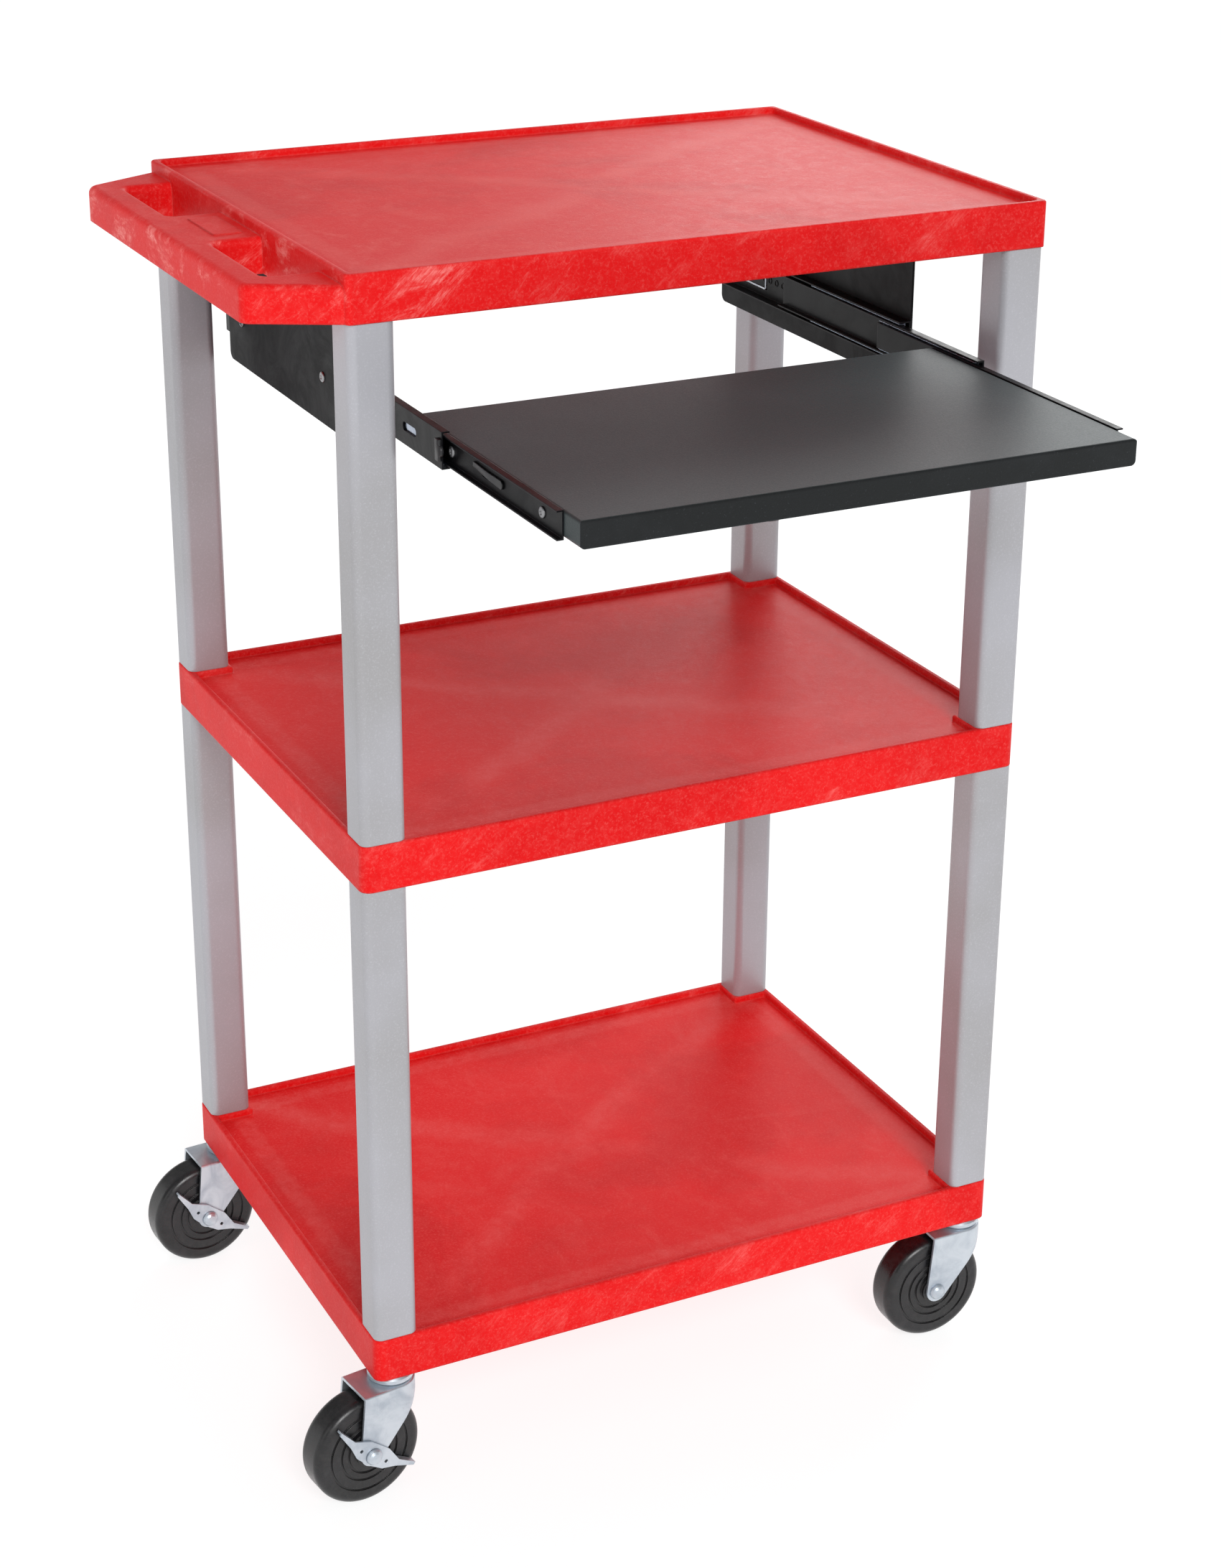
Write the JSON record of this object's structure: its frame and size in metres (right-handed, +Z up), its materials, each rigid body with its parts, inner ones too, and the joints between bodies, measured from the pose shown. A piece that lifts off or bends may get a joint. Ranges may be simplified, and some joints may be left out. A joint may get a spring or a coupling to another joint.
{
  "type": "utility cart",
  "caption": "Wheeled utility cart: stacked lipped plastic shelves on tube legs, moulded push handle, swivel casters, foot brakes and a slide-out tray under the top shelf.",
  "frame": {"origin": "on the floor, under the middle of the cart's overall box with the tray pulled out", "axes": "+Z up, +X along the shelves away from the handle, -Y towards the side where the tray comes out"},
  "size_m": [0.678, 0.7064, 1.0714],
  "materials": {
    "shelf_plastic": "moulded, fine grain, lighter flow marks",
    "leg_plastic": "satin silver grey",
    "tray_enamel": "fine textured black powder coat",
    "bracket_enamel": "black powder coat",
    "slide_steel": "black coated rolled steel",
    "ball_steel": "polished",
    "screw_steel": "zinc plated",
    "black_plastic": "moulded",
    "wheel_rubber": "hard rubber, ring grooves",
    "bushing_steel": "plain",
    "zinc_steel": "bright zinc plate"
  },
  "bodies": {
    "cart": {"top_shelf": "shelf_plastic", "middle_shelf": "shelf_plastic", "bottom_shelf": "shelf_plastic", "bracket_left": "bracket_enamel", "slide_outer_left": "slide_steel", "bracket_screws_left": "screw_steel", "slide_screws_left": "screw_steel", "bracket_right": "bracket_enamel", "slide_outer_right": "slide_steel", "bracket_screws_right": "screw_steel", "slide_screws_right": "screw_steel", "upper_leg_front_left": "leg_plastic", "lower_leg_front_left": "leg_plastic", "caster_stem_front_left": "zinc_steel", "upper_leg_back_left": "leg_plastic", "lower_leg_back_left": "leg_plastic", "caster_stem_back_left": "zinc_steel", "upper_leg_front_right": "leg_plastic", "lower_leg_front_right": "leg_plastic", "caster_stem_front_right": "zinc_steel", "upper_leg_back_right": "leg_plastic", "lower_leg_back_right": "leg_plastic", "caster_stem_back_right": "zinc_steel"},
    "tray": {"tray": "tray_enamel", "tray_knob": "black_plastic", "slide_inner_left": "slide_steel", "slide_inner_right": "slide_steel", "tray_screws_left": "screw_steel", "tray_screws_right": "screw_steel"},
    "slide_middle_left": {"slide_middle_left": "slide_steel"},
    "inner_balls_left": {"inner_balls_left": "ball_steel"},
    "outer_balls_left": {"outer_balls_left": "ball_steel"},
    "slide_middle_right": {"slide_middle_right": "slide_steel"},
    "inner_balls_right": {"inner_balls_right": "ball_steel"},
    "outer_balls_right": {"outer_balls_right": "ball_steel"},
    "swivel_front_left": {"caster_fork_front_left": "zinc_steel", "wheel_bushing_front_left": "bushing_steel", "axle_bolt_front_left": "zinc_steel", "axle_nut_front_left": "zinc_steel"},
    "wheel_front_left": {"caster_wheel_front_left": "wheel_rubber"},
    "brake_front_left": {"brake_lever_front_left": "zinc_steel"},
    "swivel_back_left": {"caster_fork_back_left": "zinc_steel", "wheel_bushing_back_left": "bushing_steel", "axle_bolt_back_left": "zinc_steel", "axle_nut_back_left": "zinc_steel"},
    "wheel_back_left": {"caster_wheel_back_left": "wheel_rubber"},
    "brake_back_left": {"brake_lever_back_left": "zinc_steel"},
    "swivel_front_right": {"caster_fork_front_right": "zinc_steel", "wheel_bushing_front_right": "bushing_steel", "axle_bolt_front_right": "zinc_steel", "axle_nut_front_right": "zinc_steel"},
    "wheel_front_right": {"caster_wheel_front_right": "wheel_rubber"},
    "swivel_back_right": {"caster_fork_back_right": "zinc_steel", "wheel_bushing_back_right": "bushing_steel", "axle_bolt_back_right": "zinc_steel", "axle_nut_back_right": "zinc_steel"},
    "wheel_back_right": {"caster_wheel_back_right": "wheel_rubber"}
  },
  "joints": [
    {"name": "tray_slide", "type": "slide", "parent": "cart", "child": "tray", "axis": [0, 1, 0], "range_m": [0, 0.24]},
    {"name": "slide_middle_left_travel", "type": "slide", "parent": "cart", "child": "slide_middle_left", "axis": [0, 1, 0], "range_m": [0, 0.12]},
    {"name": "inner_balls_left_travel", "type": "slide", "parent": "cart", "child": "inner_balls_left", "axis": [0, 1, 0], "range_m": [0, 0.18]},
    {"name": "outer_balls_left_travel", "type": "slide", "parent": "cart", "child": "outer_balls_left", "axis": [0, 1, 0], "range_m": [0, 0.06]},
    {"name": "slide_middle_right_travel", "type": "slide", "parent": "cart", "child": "slide_middle_right", "axis": [0, 1, 0], "range_m": [0, 0.12]},
    {"name": "inner_balls_right_travel", "type": "slide", "parent": "cart", "child": "inner_balls_right", "axis": [0, 1, 0], "range_m": [0, 0.18]},
    {"name": "outer_balls_right_travel", "type": "slide", "parent": "cart", "child": "outer_balls_right", "axis": [0, 1, 0], "range_m": [0, 0.06]},
    {"name": "caster_swivel_front_left", "type": "hinge", "parent": "cart", "child": "swivel_front_left", "pos_m": [-0.252, -0.0939, 0.1], "axis": [0, 0, 1], "continuous": true},
    {"name": "wheel_spin_front_left", "type": "hinge", "parent": "swivel_front_left", "child": "wheel_front_left", "pos_m": [-0.2827, -0.09821, 0.0508], "axis": [-0.1392, 0.9903, 0], "continuous": true},
    {"name": "brake_front_left_press", "type": "hinge", "parent": "swivel_front_left", "child": "brake_front_left", "pos_m": [-0.2827, -0.09821, 0.0508], "axis": [0.1392, -0.9903, 0], "range_deg": [0, 25]},
    {"name": "caster_swivel_back_left", "type": "hinge", "parent": "cart", "child": "swivel_back_left", "pos_m": [-0.252, 0.3247, 0.1], "axis": [0, 0, 1], "continuous": true},
    {"name": "wheel_spin_back_left", "type": "hinge", "parent": "swivel_back_left", "child": "wheel_back_left", "pos_m": [-0.28292, 0.32254, 0.0508], "axis": [-0.0698, 0.9976, 0], "continuous": true},
    {"name": "brake_back_left_press", "type": "hinge", "parent": "swivel_back_left", "child": "brake_back_left", "pos_m": [-0.28292, 0.32254, 0.0508], "axis": [0.0698, -0.9976, 0], "range_deg": [0, 25]},
    {"name": "caster_swivel_front_right", "type": "hinge", "parent": "cart", "child": "swivel_front_right", "pos_m": [0.318, -0.0939, 0.1], "axis": [0, 0, 1], "continuous": true},
    {"name": "wheel_spin_front_right", "type": "hinge", "parent": "swivel_front_right", "child": "wheel_front_right", "pos_m": [0.287, -0.0939, 0.0508], "axis": [0, 1, 0], "continuous": true},
    {"name": "caster_swivel_back_right", "type": "hinge", "parent": "cart", "child": "swivel_back_right", "pos_m": [0.318, 0.3247, 0.1], "axis": [0, 0, 1], "continuous": true},
    {"name": "wheel_spin_back_right", "type": "hinge", "parent": "swivel_back_right", "child": "wheel_back_right", "pos_m": [0.287, 0.3247, 0.0508], "axis": [0, 1, 0], "continuous": true}
  ],
  "couplings": [
    {"joint": "slide_middle_left_travel", "follows": "tray_slide", "ratio": 0.5},
    {"joint": "inner_balls_left_travel", "follows": "tray_slide", "ratio": 0.75},
    {"joint": "outer_balls_left_travel", "follows": "tray_slide", "ratio": 0.25},
    {"joint": "slide_middle_right_travel", "follows": "tray_slide", "ratio": 0.5},
    {"joint": "inner_balls_right_travel", "follows": "tray_slide", "ratio": 0.75},
    {"joint": "outer_balls_right_travel", "follows": "tray_slide", "ratio": 0.25}
  ]
}
